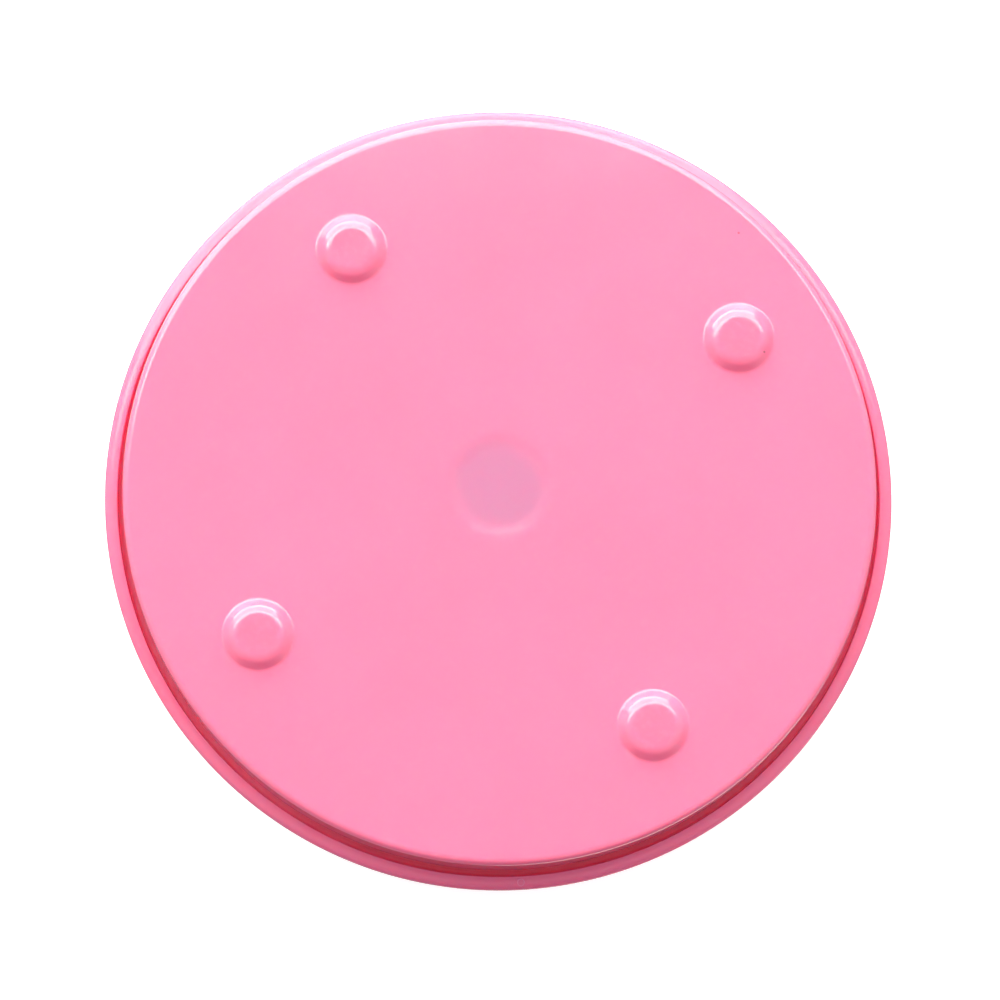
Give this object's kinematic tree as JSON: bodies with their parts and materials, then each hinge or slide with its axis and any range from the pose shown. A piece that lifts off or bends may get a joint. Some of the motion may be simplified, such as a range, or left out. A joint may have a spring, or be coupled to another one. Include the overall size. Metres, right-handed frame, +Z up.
{
  "type": "cake turntable",
  "caption": "Low round cake turntable: a flat plate with a rounded hanging rim turns on a caged ring of balls over a shallow dish base with domed feet.",
  "frame": {"origin": "centre of the bottom, on the table plane under the four feet", "axes": "+Z up along the turning axis; the four feet lie on the diagonals between +X and +Y; the turntable stands on its feet, the way it is used"},
  "size_m": [0.2824, 0.2824, 0.03],
  "materials": {
    "base_plastic": "glossy moulded pink plastic",
    "plate_plastic": "glossy moulded pink plastic",
    "white_acetal": "satin white acetal",
    "cage_nylon": "natural nylon",
    "zinc_steel": "zinc-plated steel",
    "ball_steel": "polished bearing steel"
  },
  "bodies": {
    "base": {"base_shell": "base_plastic", "lower_race": "white_acetal", "retaining_washer": "zinc_steel", "retaining_screw": "zinc_steel"},
    "plate": {"top_plate": "plate_plastic", "upper_race": "white_acetal", "hub_bush": "white_acetal", "thrust_washer": "white_acetal", "centre_cap": "plate_plastic"},
    "cage": {"ball_cage": "cage_nylon"},
    "ball_01": {"ball_01": "ball_steel"},
    "ball_02": {"ball_02": "ball_steel"},
    "ball_03": {"ball_03": "ball_steel"},
    "ball_04": {"ball_04": "ball_steel"},
    "ball_05": {"ball_05": "ball_steel"},
    "ball_06": {"ball_06": "ball_steel"},
    "ball_07": {"ball_07": "ball_steel"},
    "ball_08": {"ball_08": "ball_steel"},
    "ball_09": {"ball_09": "ball_steel"},
    "ball_10": {"ball_10": "ball_steel"},
    "ball_11": {"ball_11": "ball_steel"},
    "ball_12": {"ball_12": "ball_steel"},
    "ball_13": {"ball_13": "ball_steel"},
    "ball_14": {"ball_14": "ball_steel"},
    "ball_15": {"ball_15": "ball_steel"},
    "ball_16": {"ball_16": "ball_steel"}
  },
  "joints": [
    {"name": "plate_turn", "type": "hinge", "parent": "base", "child": "plate", "pos_m": [0, 0, 0], "axis": [0, 0, 1], "continuous": true},
    {"name": "cage_turn", "type": "hinge", "parent": "base", "child": "cage", "pos_m": [0, 0, 0], "axis": [0, 0, 1], "continuous": true},
    {"name": "ball_01_roll", "type": "hinge", "parent": "cage", "child": "ball_01", "pos_m": [0.075, 0, 0.01185], "axis": [1, 0, 0], "continuous": true},
    {"name": "ball_02_roll", "type": "hinge", "parent": "cage", "child": "ball_02", "pos_m": [0.06929, 0.0287, 0.01185], "axis": [0.9239, 0.3827, 0], "continuous": true},
    {"name": "ball_03_roll", "type": "hinge", "parent": "cage", "child": "ball_03", "pos_m": [0.05303, 0.05303, 0.01185], "axis": [0.7071, 0.7071, 0], "continuous": true},
    {"name": "ball_04_roll", "type": "hinge", "parent": "cage", "child": "ball_04", "pos_m": [0.0287, 0.06929, 0.01185], "axis": [0.3827, 0.9239, 0], "continuous": true},
    {"name": "ball_05_roll", "type": "hinge", "parent": "cage", "child": "ball_05", "pos_m": [0, 0.075, 0.01185], "axis": [0, 1, 0], "continuous": true},
    {"name": "ball_06_roll", "type": "hinge", "parent": "cage", "child": "ball_06", "pos_m": [-0.0287, 0.06929, 0.01185], "axis": [-0.3827, 0.9239, 0], "continuous": true},
    {"name": "ball_07_roll", "type": "hinge", "parent": "cage", "child": "ball_07", "pos_m": [-0.05303, 0.05303, 0.01185], "axis": [-0.7071, 0.7071, 0], "continuous": true},
    {"name": "ball_08_roll", "type": "hinge", "parent": "cage", "child": "ball_08", "pos_m": [-0.06929, 0.0287, 0.01185], "axis": [-0.9239, 0.3827, 0], "continuous": true},
    {"name": "ball_09_roll", "type": "hinge", "parent": "cage", "child": "ball_09", "pos_m": [-0.075, 0, 0.01185], "axis": [-1, 0, 0], "continuous": true},
    {"name": "ball_10_roll", "type": "hinge", "parent": "cage", "child": "ball_10", "pos_m": [-0.06929, -0.0287, 0.01185], "axis": [-0.9239, -0.3827, 0], "continuous": true},
    {"name": "ball_11_roll", "type": "hinge", "parent": "cage", "child": "ball_11", "pos_m": [-0.05303, -0.05303, 0.01185], "axis": [-0.7071, -0.7071, 0], "continuous": true},
    {"name": "ball_12_roll", "type": "hinge", "parent": "cage", "child": "ball_12", "pos_m": [-0.0287, -0.06929, 0.01185], "axis": [-0.3827, -0.9239, 0], "continuous": true},
    {"name": "ball_13_roll", "type": "hinge", "parent": "cage", "child": "ball_13", "pos_m": [0, -0.075, 0.01185], "axis": [0, -1, 0], "continuous": true},
    {"name": "ball_14_roll", "type": "hinge", "parent": "cage", "child": "ball_14", "pos_m": [0.0287, -0.06929, 0.01185], "axis": [0.3827, -0.9239, 0], "continuous": true},
    {"name": "ball_15_roll", "type": "hinge", "parent": "cage", "child": "ball_15", "pos_m": [0.05303, -0.05303, 0.01185], "axis": [0.7071, -0.7071, 0], "continuous": true},
    {"name": "ball_16_roll", "type": "hinge", "parent": "cage", "child": "ball_16", "pos_m": [0.06929, -0.0287, 0.01185], "axis": [0.9239, -0.3827, 0], "continuous": true}
  ],
  "couplings": [
    {"joint": "cage_turn", "follows": "plate_turn", "ratio": 0.5},
    {"joint": "ball_01_roll", "follows": "plate_turn", "ratio": -9.375},
    {"joint": "ball_02_roll", "follows": "plate_turn", "ratio": -9.375},
    {"joint": "ball_03_roll", "follows": "plate_turn", "ratio": -9.375},
    {"joint": "ball_04_roll", "follows": "plate_turn", "ratio": -9.375},
    {"joint": "ball_05_roll", "follows": "plate_turn", "ratio": -9.375},
    {"joint": "ball_06_roll", "follows": "plate_turn", "ratio": -9.375},
    {"joint": "ball_07_roll", "follows": "plate_turn", "ratio": -9.375},
    {"joint": "ball_08_roll", "follows": "plate_turn", "ratio": -9.375},
    {"joint": "ball_09_roll", "follows": "plate_turn", "ratio": -9.375},
    {"joint": "ball_10_roll", "follows": "plate_turn", "ratio": -9.375},
    {"joint": "ball_11_roll", "follows": "plate_turn", "ratio": -9.375},
    {"joint": "ball_12_roll", "follows": "plate_turn", "ratio": -9.375},
    {"joint": "ball_13_roll", "follows": "plate_turn", "ratio": -9.375},
    {"joint": "ball_14_roll", "follows": "plate_turn", "ratio": -9.375},
    {"joint": "ball_15_roll", "follows": "plate_turn", "ratio": -9.375},
    {"joint": "ball_16_roll", "follows": "plate_turn", "ratio": -9.375}
  ]
}
